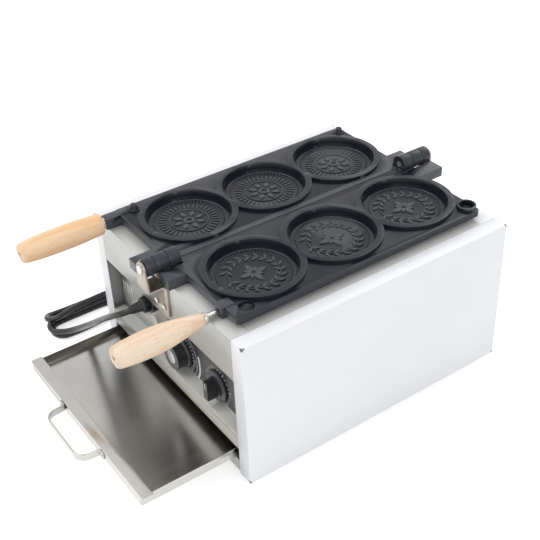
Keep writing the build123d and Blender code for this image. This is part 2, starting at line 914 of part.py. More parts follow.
def cord_tail():
    """Last straight stretch of the cord, from the hank to the plug."""
    start, outer = hank_y + hank_run / 2, hank_outer_bend + cord_diameter / 2
    with BuildPart() as tail:
        rod_between(start, start + tail_length, hank_x - hank_outer_bend, hank_top_z, cord_diameter / 2)
        with BuildSketch(Plane.XY) as ring:
            with Locations(Location((hank_x, hank_y), 90)):
                SlotCenterToCenter(hank_run, 2 * outer)
        extrude(ring.sketch, amount=hank_top_z + cord_diameter, mode=Mode.SUBTRACT)
    finish(tail, "cord_tail")


def mains_plug():
    """Moulded plug with two round pins, on the counter behind the hank."""
    front = hank_y + hank_run / 2 + tail_length
    x, middle_z = hank_x - hank_outer_bend, hank_top_z
    with BuildPart() as plug:
        with BuildSketch(Plane.XZ.offset(-front)) as neck:
            with Locations((x, middle_z)):
                Circle(plug_neck_radius)
        extrude(neck.sketch, amount=-plug_neck_length)
        box_between(
            (x - plug_width / 2, front + plug_neck_length, 0),
            (x + plug_width / 2, front + plug_neck_length + plug_length, 2 * middle_z),
        )
        fillet(plug.edges().filter_by(Axis.Z), plug_corner)
    finish(plug, "plug_body")
    with BuildPart() as pins:
        for side in (-1, 1):
            tip = front + plug_neck_length + plug_length
            rod_between(tip, tip + pin_length, x + side * pin_spacing / 2, middle_z, plug_pin_radius)
    finish(pins, "plug_pins")


def main():
    os.makedirs("parts", exist_ok=True)
    base_pan()
    side_panel(-1, "left_side_panel")
    side_panel(1, "right_side_panel")
    back_panel()
    front_fascia()
    control_panel()
    label_plate()
    indicator_lamp()
    front_beam()
    tray_rail(-1, "left_tray_rail")
    tray_rail(1, "right_tray_rail")
    chamber()
    heating_element(-1, "left_heating_element")
    heating_element(1, "right_heating_element")
    heater_strips()
    knob(knob_xs[0], round_grip_radius, False, "timer_knob")
    knob(knob_xs[1], grip_radius, True, "heat_knob")
    for x, name in zip(knob_xs, ("timer", "heat")):
        control_body(x, f"{name}_control")
    terminal_block()
    mould(-1, "left_mould")
    mould(1, "right_mould")
    for end, name in ((-1, "front"), (1, "rear")):
        hinge_bracket(end, f"{name}_hinge_bracket")
        hinge_pin(end, f"{name}_hinge_pin")
    bracket_screws()
    for side, name in ((-1, "left"), (1, "right")):
        handle_rod(side, f"{name}_handle_rod")
        wooden_handle(side, f"{name}_handle")
    drip_tray()
    tray_handle()
    tray_handle_rivets()
    rubber_feet()
    foot_screws()
    cable_gland()
    mains_cord()
    cord_hank()
    cord_tail()
    mains_plug()


main()
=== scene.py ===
"""Coin bread maker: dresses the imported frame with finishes, turned handles, pocket relief, dials and cord."""

import math

import bmesh
import bpy
from mathutils import Matrix, Vector


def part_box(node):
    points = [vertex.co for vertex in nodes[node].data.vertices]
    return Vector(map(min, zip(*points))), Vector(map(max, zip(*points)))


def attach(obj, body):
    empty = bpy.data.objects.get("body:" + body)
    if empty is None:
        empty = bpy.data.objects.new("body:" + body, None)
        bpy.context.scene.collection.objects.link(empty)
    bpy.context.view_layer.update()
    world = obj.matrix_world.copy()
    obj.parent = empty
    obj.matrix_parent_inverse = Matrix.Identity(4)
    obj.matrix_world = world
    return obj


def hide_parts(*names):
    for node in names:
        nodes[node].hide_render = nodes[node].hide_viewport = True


bl_info = {
    "name": "Coin bread maker",
    "version": (1, 0, 0),
    "blender": (4, 5, 0),
    "location": "View3D > Sidebar > Bread Maker",
    "description": "Dresses the frame with its finishes, handles, pocket relief, dials and cord",
    "category": "Object",
}

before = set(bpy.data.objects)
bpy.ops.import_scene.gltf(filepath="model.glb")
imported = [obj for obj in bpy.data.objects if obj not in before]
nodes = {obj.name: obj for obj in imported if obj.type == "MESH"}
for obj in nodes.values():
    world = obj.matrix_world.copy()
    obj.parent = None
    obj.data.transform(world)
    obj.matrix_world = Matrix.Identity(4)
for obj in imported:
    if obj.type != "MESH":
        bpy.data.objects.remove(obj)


# Sizes and colours that a user would change


def length(name, description, default):
    """A length in metres."""
    return bpy.props.FloatProperty(
        name=name, description=description, default=default, min=0.0, precision=5, unit="LENGTH"
    )


def colour(name, description, default):
    """A linear colour."""
    return bpy.props.FloatVectorProperty(
        name=name, description=description, default=default, size=3, min=0.0, max=1.0, subtype="COLOR"
    )


class CoinMakerFinish(bpy.types.PropertyGroup):
    """Colours of the finishes."""

    paint: colour("Paint", "Cool white of the painted panels", (0.845, 0.85, 0.865))
    steel: colour("Steel", "Stainless sheet", (0.46, 0.455, 0.43))
    bracket_steel: colour("Bracket steel", "Hinge brackets, browned by heat", (0.46, 0.40, 0.35))
    bright_steel: colour("Bright steel", "Polished drip tray", (0.56, 0.55, 0.52))
    coating: colour("Coating", "Non-stick coating of the moulds", (0.0075, 0.0085, 0.0135))
    coating_edge: colour("Coating edge", "Coating where it is rubbed thin", (0.055, 0.058, 0.066))
    pale_wood: colour("Pale wood", "Light grain of the handles", (0.84, 0.69, 0.54))
    left_pale_wood: colour("Left pale wood", "Light grain of the left handle", (0.86, 0.62, 0.39))
    left_dark_wood: colour("Left dark wood", "Dark grain of the left handle", (0.70, 0.41, 0.20))
    dark_wood: colour("Dark wood", "Dark grain of the handles", (0.68, 0.47, 0.31))
    rubber: colour("Rubber", "Cord and gland", (0.012, 0.012, 0.013))
    plastic: colour("Plastic", "Knobs and plug", (0.014, 0.014, 0.016))
    print_white: colour("Print", "Printed marks of the dials", (0.62, 0.63, 0.64))


class CoinMakerSizes(bpy.types.PropertyGroup):
    """Sizes of the pieces that are made here."""

    relief: length("Relief", "Height of the pocket relief", 0.0012)
    bead: length("Bead", "Radius of one bead in the beaded rings", 0.0011)
    edge: length("Edge", "Rounding of cast edges", 0.0011)
    fold: length("Fold", "Rounding of folded sheet edges", 0.0006)
    cord: length("Cord", "Diameter of the mains cord", 0.0075)
    cord_length: length("Cord length", "Whole length of the mains cord", 1.037)


def finish_settings():
    """The colours of this scene."""
    return bpy.context.scene.coin_maker_finish


def size_settings():
    """The sizes of this scene."""
    return bpy.context.scene.coin_maker_sizes


# Materials


class Nodes:
    """Short helper that adds and joins shader nodes of one material."""

    def __init__(self, name):
        self.material = bpy.data.materials.new(name)
        self.material.use_nodes = True
        self.tree = self.material.node_tree
        self.shader = self.tree.nodes["Principled BSDF"]
        self.place = self.add("ShaderNodeTexCoord")

    def add(self, kind, **values):
        """Adds one node; keywords set its properties."""
        node = self.tree.nodes.new(kind)
        for key, value in values.items():
            setattr(node, key, value)
        return node

    def join(self, output, target):
        """Joins an output socket to an input socket."""
        self.tree.links.new(output, target)

    def stretched(self, scale):
        """Object coordinates stretched by a scale per axis."""
        mapping = self.add("ShaderNodeMapping")
        mapping.inputs["Scale"].default_value = scale
        self.join(self.place.outputs["Object"], mapping.inputs["Vector"])
        return mapping.outputs["Vector"]

    def noise(self, scale, size=1.0, detail=3.0, rough=0.55):
        """Noise on stretched object coordinates."""
        node = self.add("ShaderNodeTexNoise")
        node.inputs["Scale"].default_value = size
        node.inputs["Detail"].default_value = detail
        node.inputs["Roughness"].default_value = rough
        self.join(self.stretched(scale), node.inputs["Vector"])
        return node.outputs["Fac"]

    def ranged(self, value, low, high, start=0.3, end=0.7):
        """Maps a value into a range, smoothly."""
        node = self.add("ShaderNodeMapRange", interpolation_type="SMOOTHSTEP")
        node.inputs["From Min"].default_value = start
        node.inputs["From Max"].default_value = end
        node.inputs["To Min"].default_value = low
        node.inputs["To Max"].default_value = high
        self.join(value, node.inputs["Value"])
        return node.outputs["Result"]

    def mixed(self, factor, first, second, blend="MIX"):
        """Mixes two colours by a factor; each is an output socket or three numbers."""
        node = self.add("ShaderNodeMix", data_type="RGBA", blend_type=blend)
        for name, value in (("A", first), ("B", second)):
            if isinstance(value, bpy.types.NodeSocket):
                self.join(value, node.inputs[name])
            else:
                node.inputs[name].default_value = (*value, 1.0)
        self.join(factor, node.inputs["Factor"])
        return node.outputs["Result"]

    def reckoned(self, operation, *values):
        """The outcome of a sum on output sockets and numbers."""
        node = self.add("ShaderNodeMath", operation=operation)
        for value, target in zip(values, node.inputs):
            if isinstance(value, bpy.types.NodeSocket):
                self.join(value, target)
            else:
                target.default_value = value
        return node.outputs["Value"]

    def bump(self, height, distance, strength=0.5, under=None):
        """Bump from a height, over a normal if one is given."""
        node = self.add("ShaderNodeBump")
        node.inputs["Distance"].default_value = distance
        node.inputs["Strength"].default_value = strength
        self.join(height, node.inputs["Height"])
        if under is not None:
            self.join(under, node.inputs["Normal"])
        return node.outputs["Normal"]

    def set(self, **values):
        """Sets the shader's own sockets."""
        for key, value in values.items():
            self.shader.inputs[key.replace("_", " ").title().replace("Ior", "IOR")].default_value = value

    def drive(self, name, output):
        """Joins an output to one of the shader's sockets."""
        self.join(output, self.shader.inputs[name])


def painted_sheet():
    """Cool white paint with a faint orange peel and smears, chipped at the housing's outer corners."""
    corner_x, corner_y, corner_heights = 0.1585, 0.1805, (0.196, 0.010)
    chip_start, chip_end = 0.0015, 0.0085
    bare_metal = (0.10, 0.095, 0.09)
    m = Nodes("cool_white_paint")
    paint = Vector(finish_settings().paint)
    patches = m.ranged(m.noise((7, 7, 7), 1.0, 4), 0, 1)
    clean = m.mixed(patches, paint * 0.965, paint)
    mirrored = m.add("ShaderNodeVectorMath", operation="ABSOLUTE")
    m.join(m.place.outputs["Object"], mirrored.inputs[0])
    near = []
    for height in corner_heights:
        away = m.add("ShaderNodeVectorMath", operation="DISTANCE")
        away.inputs[1].default_value = (corner_x, corner_y, height)
        m.join(mirrored.outputs["Vector"], away.inputs[0])
        near.append(m.ranged(away.outputs["Value"], 1.0, 0.0, chip_start, chip_end))
    broken = m.reckoned("MULTIPLY", m.reckoned("MAXIMUM", *near), m.noise((420, 420, 420), 1.0, 3, 0.6))
    m.drive("Base Color", m.mixed(m.ranged(broken, 0, 1, 0.40, 0.45), clean, bare_metal))
    m.drive("Roughness", m.ranged(m.noise((30, 30, 30), 1.0, 5), 0.30, 0.42))
    m.drive("Normal", m.bump(m.noise((520, 520, 520), 1.0, 2), 0.0001, 0.10))
    m.set(coat_weight=0.15, coat_roughness=0.25)
    return m.material


def satin_steel(name, tint, along, rough, grain=0.25, painted_top_light=0.0):
    """Stainless sheet brushed along one axis, with painted top light: painted paler and less metallic where it
    faces up.
    """
    m = Nodes(name)
    lines = m.noise([14.0 if axis == along else 2600.0 for axis in "xyz"], 1.0, 2)
    bands = m.noise([3.0 if axis == along else 240.0 for axis in "xyz"], 1.0, 3)
    cloud = m.noise((9, 9, 9), 1.0, 4)
    base = m.mixed(m.ranged(cloud, 0, 1), Vector(tint) * 0.88, Vector(tint))
    m.set(metallic=1.0)
    # Painted top light: faces that point up are painted a pale grey (0.66, 0.66, 0.63) and made less metallic,
    # standing in for light falling on them.
    if painted_top_light:
        facing = m.add("ShaderNodeSeparateXYZ")
        m.join(m.place.outputs["Normal"], facing.inputs["Vector"])
        painted_top_light_mask = m.ranged(facing.outputs["Z"], 0.0, painted_top_light, 0.6, 0.9)
        base = m.mixed(painted_top_light_mask, base, (0.66, 0.66, 0.63))
        m.drive("Metallic", m.reckoned("SUBTRACT", 1.0, painted_top_light_mask))
    m.drive("Base Color", base)
    spread = 0.12
    m.drive("Roughness", m.reckoned("MULTIPLY_ADD", bands, spread, rough - spread / 2))
    m.drive("Normal", m.bump(lines, 0.00003, grain))
    return m.material


def cast_coating():
    """Charcoal non-stick coating on cast metal: fine pits, with a paler rubbed look on high spots."""
    m = Nodes("charcoal_coating")
    colours = finish_settings()
    pits = m.noise((1500, 1500, 1500), 1.0, 3)
    swirl = m.noise((26, 26, 26), 1.0, 5)
    worn = m.add("ShaderNodeNewGeometry").outputs["Pointiness"]
    rubbed = m.ranged(worn, 0, 1, 0.505, 0.56)
    tinted = m.mixed(rubbed, Vector(colours.coating), Vector(colours.coating_edge))
    m.drive("Base Color", tinted)
    m.drive("Roughness", m.ranged(swirl, 0.20, 0.31))
    m.drive("Normal", m.bump(pits, 0.00012, 0.22))
    m.set(specular_ior_level=0.33, specular_tint=(0.90, 0.93, 1.0, 1.0))
    return m.material


def turned_wood(name, pale, dark):
    """Turned hardwood with fine grain along Y and short pores."""
    m = Nodes(name)
    rings = m.noise((150, 4.2, 70), 1.0, 5, 0.62)
    fibres = m.noise((1500, 32, 1500), 1.0, 3)
    pores = m.noise((900, 120, 900), 1.0, 2)
    broad = m.mixed(m.ranged(rings, 0, 1, 0.38, 0.66), Vector(pale), Vector(dark) * 1.12)
    flecked = m.mixed(m.ranged(pores, 0.0, 0.75, 0.60, 0.70), broad, (0.86, 0.74, 0.64), "MULTIPLY")
    lined = m.mixed(m.ranged(fibres, 0.0, 0.5, 0.4, 0.7), flecked, (0.93, 0.86, 0.80), "MULTIPLY")
    m.drive("Base Color", lined)
    m.drive("Roughness", m.ranged(fibres, 0.46, 0.58))
    m.drive("Normal", m.bump(fibres, 0.0001, 0.18))
    return m.material


def moulded(name, tint, low, high, grain=900.0, depth=0.0001, strength=0.15):
    """Moulded plastic or rubber with a fine texture and uneven sheen."""
    m = Nodes(name)
    tint = Vector(tint)
    patches = m.ranged(m.noise((40, 40, 40), 1.0, 4), 0, 1)
    m.drive("Base Color", m.mixed(patches, tint * 0.8, tint * 1.25))
    m.drive("Roughness", m.ranged(m.noise((90, 90, 90), 1.0, 4), low, high))
    m.drive("Normal", m.bump(m.noise((grain, grain, grain), 1.0, 2), depth, strength))
    return m.material


def two_tone_knob(tint):
    """Black moulded knob whose skirt and front cap are greyer than its grip."""
    skirt_front, cap_back, blur = -0.1704, -0.1828, 0.0002
    worn_grey = (0.055, 0.058, 0.062)
    m = Nodes("knob_plastic")
    parts = m.add("ShaderNodeSeparateXYZ")
    m.join(m.place.outputs["Object"], parts.inputs["Vector"])
    skirt = m.ranged(parts.outputs["Y"], 0, 1, skirt_front, skirt_front + 2 * blur)
    cap = m.ranged(parts.outputs["Y"], 1, 0, cap_back - blur, cap_back)
    m.drive("Base Color", m.mixed(m.reckoned("MAXIMUM", skirt, cap), Vector(tint), worn_grey))
    m.drive("Roughness", m.ranged(m.noise((90, 90, 90), 1.0, 4), 0.28, 0.40))
    m.drive("Normal", m.bump(m.noise((900, 900, 900), 1.0, 2), 0.0001, 0.12))
    return m.material


def darkened_sheath():
    """Heating element sheath: steel darkened and tinted by heat in patches."""
    m = Nodes("heat_darkened_sheath")
    patches = m.ranged(m.noise((60, 18, 60), 1.0, 4), 0, 1)
    m.drive("Base Color", m.mixed(patches, (0.12, 0.10, 0.09), (0.26, 0.22, 0.19)))
    m.drive("Roughness", m.ranged(m.noise((200, 200, 200), 1.0, 3), 0.42, 0.6))
    m.drive("Normal", m.bump(m.noise((900, 900, 900), 1.0, 2), 0.0001, 0.2))
    m.set(metallic=0.9)
    return m.material


# Mesh helpers


def new_piece(name, bm, body, material, smooth=None):
    """Makes an object of a bmesh, gives it its finish, and lets it move with its body."""
    mesh = bpy.data.meshes.new(name)
    bm.to_mesh(mesh)
    bm.free()
    obj = bpy.data.objects.new(name, mesh)
    bpy.context.scene.collection.objects.link(obj)
    obj.data.materials.append(material)
    if smooth is not None:
        mesh.shade_smooth()
        mesh.set_sharp_from_angle(angle=math.radians(smooth))
    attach(obj, body)
    return obj


def repaint(names, material):
    """Gives these CAD nodes a finish."""
    for name in names:
        slots = nodes[name].data.materials
        slots.clear()
        slots.append(material)


def rounded_copy(name, body, material, width, angle=32.0, segments=2):
    """Replaces a CAD node with a merged copy of itself whose edges are rounded."""
    source = nodes[name]
    bm = bmesh.new()
    bm.from_mesh(source.data)
    bmesh.ops.remove_doubles(bm, verts=bm.verts, dist=0.000002)
    bmesh.ops.dissolve_limit(
        bm, angle_limit=math.radians(0.6), verts=bm.verts, edges=bm.edges, use_dissolve_boundaries=False
    )
    limit = math.radians(angle)
    sharp = [e for e in bm.edges if len(e.link_faces) == 2 and e.calc_face_angle(0.0) > limit]
    bmesh.ops.bevel(
        bm,
        geom=sharp,
        offset=width,
        offset_type="OFFSET",
        affect="EDGES",
        segments=segments,
        profile=0.5,
        material=-1,
        clamp_overlap=True,
        miter_outer="ARC",
    )
    obj = new_piece(f"{name}_finished", bm, body, material, smooth=40)
    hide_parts(name)
    return obj


def spun(bm, verts, edges, axis, steps):
    """Spins vertices and edges once round an axis through the origin."""
    geom = verts + edges
    bmesh.ops.spin(
        bm, geom=geom, cent=(0, 0, 0), axis=axis, angle=2 * math.pi, steps=steps, use_merge=True
    )


def turned(bm, profile, centre, steps=64):
    """Spins a profile of (radius, place along Y) round the Y axis through centre, closed at both ends."""
    closed = [(0.0, profile[0][1]), *profile, (0.0, profile[-1][1])]
    verts = [bm.verts.new((radius, along, 0.0)) for radius, along in closed]
    edges = [bm.edges.new(pair) for pair in zip(verts, verts[1:])]
    spun(bm, verts, edges, (0, 1, 0), steps)
    bmesh.ops.remove_doubles(bm, verts=bm.verts, dist=0.000001)
    bmesh.ops.recalc_face_normals(bm, faces=bm.faces)
    bmesh.ops.translate(bm, vec=centre, verts=bm.verts)


def block(bm, size):
    """Adds a box of this size at the origin, and returns its vertices."""
    verts = bmesh.ops.create_cube(bm, size=1.0)["verts"]
    bmesh.ops.scale(bm, vec=size, verts=verts)
    return verts


def soften(bm, width):
    """Rounds every edge of a bmesh."""
    bmesh.ops.bevel(
        bm,
        geom=bm.edges,
        offset=width,
        offset_type="OFFSET",
        affect="EDGES",
        segments=2,
        profile=0.5,
        material=-1,
    )


# Stage, lights and camera


class COINMAKER_OT_stage(bpy.types.Operator):
    """Camera at the photograph's place, plain floor, soft lamps and a pale surround"""

    bl_idname = "coin_maker.stage"
    bl_label = "Stage, lamps and camera"

    azimuth = math.radians(56.469)
    elevation = math.radians(35.2)
    roll = math.radians(-2.631)
    target = Vector((-0.057263, 0.0, 0.092189))
    distance = 1.2569
    lens = 66.875
    lamps = (
        ("key_lamp", (-0.9, -1.5, 2.2), 1.6, 24.0),
        ("right_lamp", (2.3, -0.4, 1.5), 1.4, 15.0),
        ("back_lamp", (-0.6, 2.2, 1.9), 1.6, 14.0),
    )
    floor_size = 6.0
    floor_drop = 0.0002
    floor_glow = 0.55

    def execute(self, context):
        self.camera(context)
        self.floor(context)
        self.world(context)
        for name, place, size, power in self.lamps:
            light = bpy.data.lights.new(name, "AREA")
            light.size = size
            light.energy = power
            lamp = bpy.data.objects.new(name, light)
            lamp.location = place
            lamp.rotation_euler = (self.target - Vector(place)).to_track_quat("-Z", "Y").to_euler()
            context.scene.collection.objects.link(lamp)
        context.scene.view_settings.view_transform = "Standard"
        return {"FINISHED"}

    def camera(self, context):
        """The photograph's camera."""
        a, e, r = self.azimuth, self.elevation, self.roll
        back = Vector((math.sin(a) * math.cos(e), -math.cos(a) * math.cos(e), math.sin(e)))
        right = Vector((math.cos(a), math.sin(a), 0.0))
        up = back.cross(right)
        rolled_right = right * math.cos(r) + up * math.sin(r)
        rolled_up = up * math.cos(r) - right * math.sin(r)
        data = bpy.data.cameras.new("photo_camera")
        data.lens = self.lens
        data.sensor_width = 36.0
        cam = bpy.data.objects.new("photo_camera", data)
        turn = Matrix((rolled_right, rolled_up, back)).transposed().to_4x4()
        cam.matrix_world = Matrix.Translation(self.target + back * self.distance) @ turn
        context.scene.collection.objects.link(cam)
        context.scene.camera = cam

    def floor(self, context):
        """White floor that keeps the shadow and shows pure white elsewhere."""
        bm = bmesh.new()
        bmesh.ops.create_grid(bm, x_segments=1, y_segments=1, size=self.floor_size)
        mesh = bpy.data.meshes.new("floor")
        bm.to_mesh(mesh)
        bm.free()
        floor = bpy.data.objects.new("floor", mesh)
        floor.location = (0, 0, -self.floor_drop)
        context.scene.collection.objects.link(floor)
        m = Nodes("white_floor")
        speck = m.ranged(m.noise((3, 3, 3), 1.0, 2), 0, 1)
        m.drive("Base Color", m.mixed(speck, (0.80, 0.80, 0.80), (0.82, 0.82, 0.82)))
        m.set(roughness=0.9, specular_ior_level=0.1)
        glow = m.add("ShaderNodeEmission")
        glow.inputs["Color"].default_value = (1, 1, 1, 1)
        path = m.add("ShaderNodeLightPath")
        level = m.reckoned("MULTIPLY", self.seen_rays(m.tree, path), self.floor_glow)
        m.join(level, glow.inputs["Strength"])
        total = m.add("ShaderNodeAddShader")
        m.join(m.shader.outputs["BSDF"], total.inputs[0])
        m.join(glow.outputs["Emission"], total.inputs[1])
        m.join(total.outputs["Shader"], m.tree.nodes["Material Output"].inputs["Surface"])
        floor.data.materials.append(m.material)

    def seen_rays(self, tree, path):
        """One for rays that show the surround: to the camera, in gloss and through glass."""
        last = path.outputs["Is Camera Ray"]
        for name in ("Is Glossy Ray", "Is Transmission Ray"):
            either = tree.nodes.new("ShaderNodeMath")
            either.operation = "MAXIMUM"
            tree.links.new(last, either.inputs[0])
            tree.links.new(path.outputs[name], either.inputs[1])
            last = either.outputs["Value"]
        return last

    def world(self, context):
        """White to the camera and in gloss, and a plain soft level on the object."""
        world = bpy.data.worlds.new("soft_surround")
        world.use_nodes = True
        tree = world.node_tree
        surround = tree.nodes["Background"]
        surround.inputs["Color"].default_value = (0.96, 0.97, 1.0, 1)
        surround.inputs["Strength"].default_value = 0.75
        seen = tree.nodes.new("ShaderNodeBackground")
        seen.inputs["Color"].default_value = (1, 1, 1, 1)
        seen.inputs["Strength"].default_value = 1.0
        path = tree.nodes.new("ShaderNodeLightPath")
        mix = tree.nodes.new("ShaderNodeMixShader")
        tree.links.new(self.seen_rays(tree, path), mix.inputs["Fac"])
        tree.links.new(surround.outputs["Background"], mix.inputs[1])
        tree.links.new(seen.outputs["Background"], mix.inputs[2])
        tree.links.new(mix.outputs["Shader"], tree.nodes["World Output"].inputs["Surface"])
        context.scene.world = world


class COINMAKER_OT_cord(bpy.types.Operator):
    """Mains cord from the gland to its loops on the counter beside the housing, with its plug"""

    bl_idname = "coin_maker.cord"
    bl_label = "Mains cord and plug"

    lead = [
        (-0.046, -0.1865, 0.1295),
        (-0.047, -0.203, 0.128),
        (-0.066, -0.213, 0.116),
        (-0.103, -0.2135, 0.088),
        (-0.145, -0.2135, 0.054),
        (-0.178, -0.2155, 0.0285),
        (-0.197, -0.2255, 0.0155),
    ]
    low_z, high_z, top_z = 0.0038, 0.0113, 0.0188
    wide_bend, narrow_bend = 0.0165, 0.0135
    right_x, left_x, far_x = -0.2035, -0.2365, -0.255
    front_y, back_y = -0.2215, -0.1105
    run_front, run_back = -0.190, -0.140
    tail_end = -0.078

    def execute(self, context):
        sizes = size_settings()
        curve = bpy.data.curves.new("mains_cord_line", "CURVE")
        curve.dimensions = "3D"
        curve.bevel_depth = sizes.cord / 2
        curve.bevel_resolution = 6
        curve.resolution_u = 6
        curve.use_fill_caps = True
        points = self.route()
        spline = curve.splines.new("NURBS")
        spline.points.add(len(points) - 1)
        for point, place in zip(spline.points, points):
            point.co = (*place, 1.0)
        spline.order_u = 3
        spline.use_endpoint_u = True
        cord = bpy.data.objects.new("mains_cord_run", curve)
        context.scene.collection.objects.link(cord)
        sheath = moulded("cord_sheath", finish_settings().rubber, 0.22, 0.32, 300.0, 0.00008, 0.05)
        cord.data.materials.append(sheath)
        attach(cord, "housing")
        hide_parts("mains_cord", "cord_hank", "cord_tail")
        plastic = moulded("plug_plastic", finish_settings().plastic, 0.35, 0.5)
        plug = rounded_copy("plug_body", "housing", plastic, 0.0015)
        repaint(["plug_pins"], satin_steel("plug_pin_plate", (0.72, 0.68, 0.58), "y", 0.3))
        return {"FINISHED"}

    def route(self):
        """The lead, two turns of the wide loop, the narrow loop across it, and the tail to the plug."""
        middle = (self.right_x + self.left_x) / 2
        low, high, top = self.low_z, self.high_z, self.top_z
        front, back = self.run_front, self.run_back
        points = list(self.lead)
        points += self.bend(middle, self.front_y, self.wide_bend, -50, -180, high, high)
        points += [(self.left_x, front, high), (self.left_x, back, high)]
        points += self.bend(middle, self.back_y, self.wide_bend, 180, 0, high, high)
        points += [(self.right_x, back, 0.0090), (self.right_x, front, low)]
        points += self.bend(middle, self.front_y + 0.003, self.wide_bend, 0, -180, low, low)
        points += [(self.left_x, front, low), (self.left_x, -0.150, low), (-0.230, -0.128, low)]
        points += self.bend(-0.2395, self.back_y, 0.0155, 0, 180, low, low)
        points += [(self.far_x, back, low), (self.far_x, front, 0.0045)]
        points += self.bend(self.far_x + self.narrow_bend, -0.2195, self.narrow_bend, -180, 0, 0.0055, top)
        points += [(-0.2335, -0.200, top), (self.left_x, -0.170, top), (self.left_x, back, top)]
        points += [(-0.241, -0.116, 0.0178), (-0.251, -0.101, 0.0140), (self.far_x, -0.090, high)]
        points.append((self.far_x, self.tail_end, high))
        return points

    def bend(self, x, y, radius, start, end, z_start, z_end):
        """Points round a bend between two angles from +X, in degrees, and between two heights."""
        steps = 5
        swell = 1 / math.cos(math.radians(abs(end - start)) / 2 / steps)
        points = []
        for step in range(steps + 1):
            share = step / steps
            angle = math.radians(start + (end - start) * share)
            reach = radius * (swell if 0 < step < steps else 1.0)
            height = z_start + (z_end - z_start) * share
            points.append((x + reach * math.cos(angle), y + reach * math.sin(angle), height))
        return points


class COINMAKER_OT_housing(bpy.types.Operator):
    """White folded panels, stainless front, chamber sheets, rails, feet and screws"""

    bl_idname = "coin_maker.housing"
    bl_label = "Housing sheets"

    white = ("left_side_panel", "right_side_panel", "back_panel")
    front = ("front_fascia", "front_beam", "control_panel")
    brackets = ("front_hinge_bracket", "rear_hinge_bracket")
    plain = (
        "base_pan",
        "left_tray_rail",
        "right_tray_rail",
        "chamber_left_wall",
        "chamber_right_wall",
        "chamber_back_wall",
        "chamber_front_wall",
        "heater_support_strips",
    )

    def execute(self, context):
        colours, sizes = finish_settings(), size_settings()
        paint = painted_sheet()
        # The front steel carries painted top light: its upward faces are painted pale grey.
        front = satin_steel("satin_front_steel", colours.steel, "x", 0.38, painted_top_light=0.75)
        browned = satin_steel("browned_bracket_steel", colours.bracket_steel, "z", 0.38)
        sheets = (
            (self.white, paint, sizes.fold * 0.6, "side_panel"),
            (self.front, front, sizes.fold * 0.5, "front_steel"),
            (self.brackets, browned, sizes.fold * 0.5, "front_steel"),
        )
        for names, material, width, slot in sheets:
            for name in names:
                rounded_copy(name, "housing", material, width)
        # The inner steel carries painted top light on its upward faces as well.
        inner = satin_steel("satin_inner_steel", Vector(colours.steel) * 0.95, "y", 0.42, painted_top_light=0.8)
        repaint(self.plain, inner)
        repaint(["left_heating_element", "right_heating_element"], darkened_sheath())
        repaint(["rubber_feet"], moulded("foot_rubber", colours.rubber, 0.55, 0.7))
        bright = satin_steel("bright_pins", (0.66, 0.65, 0.63), "y", 0.2)
        repaint(["front_hinge_pin", "rear_hinge_pin", "foot_screws", "tray_handle_rivets"], bright)
        screws = rounded_copy("bracket_screws", "housing", bright, 0.0005)
        repaint(["terminal_block"], moulded("terminal_ceramic", (0.62, 0.60, 0.55), 0.5, 0.7))
        repaint(["timer_control", "heat_control"], moulded("control_bodies", colours.plastic, 0.4, 0.55))
        return {"FINISHED"}


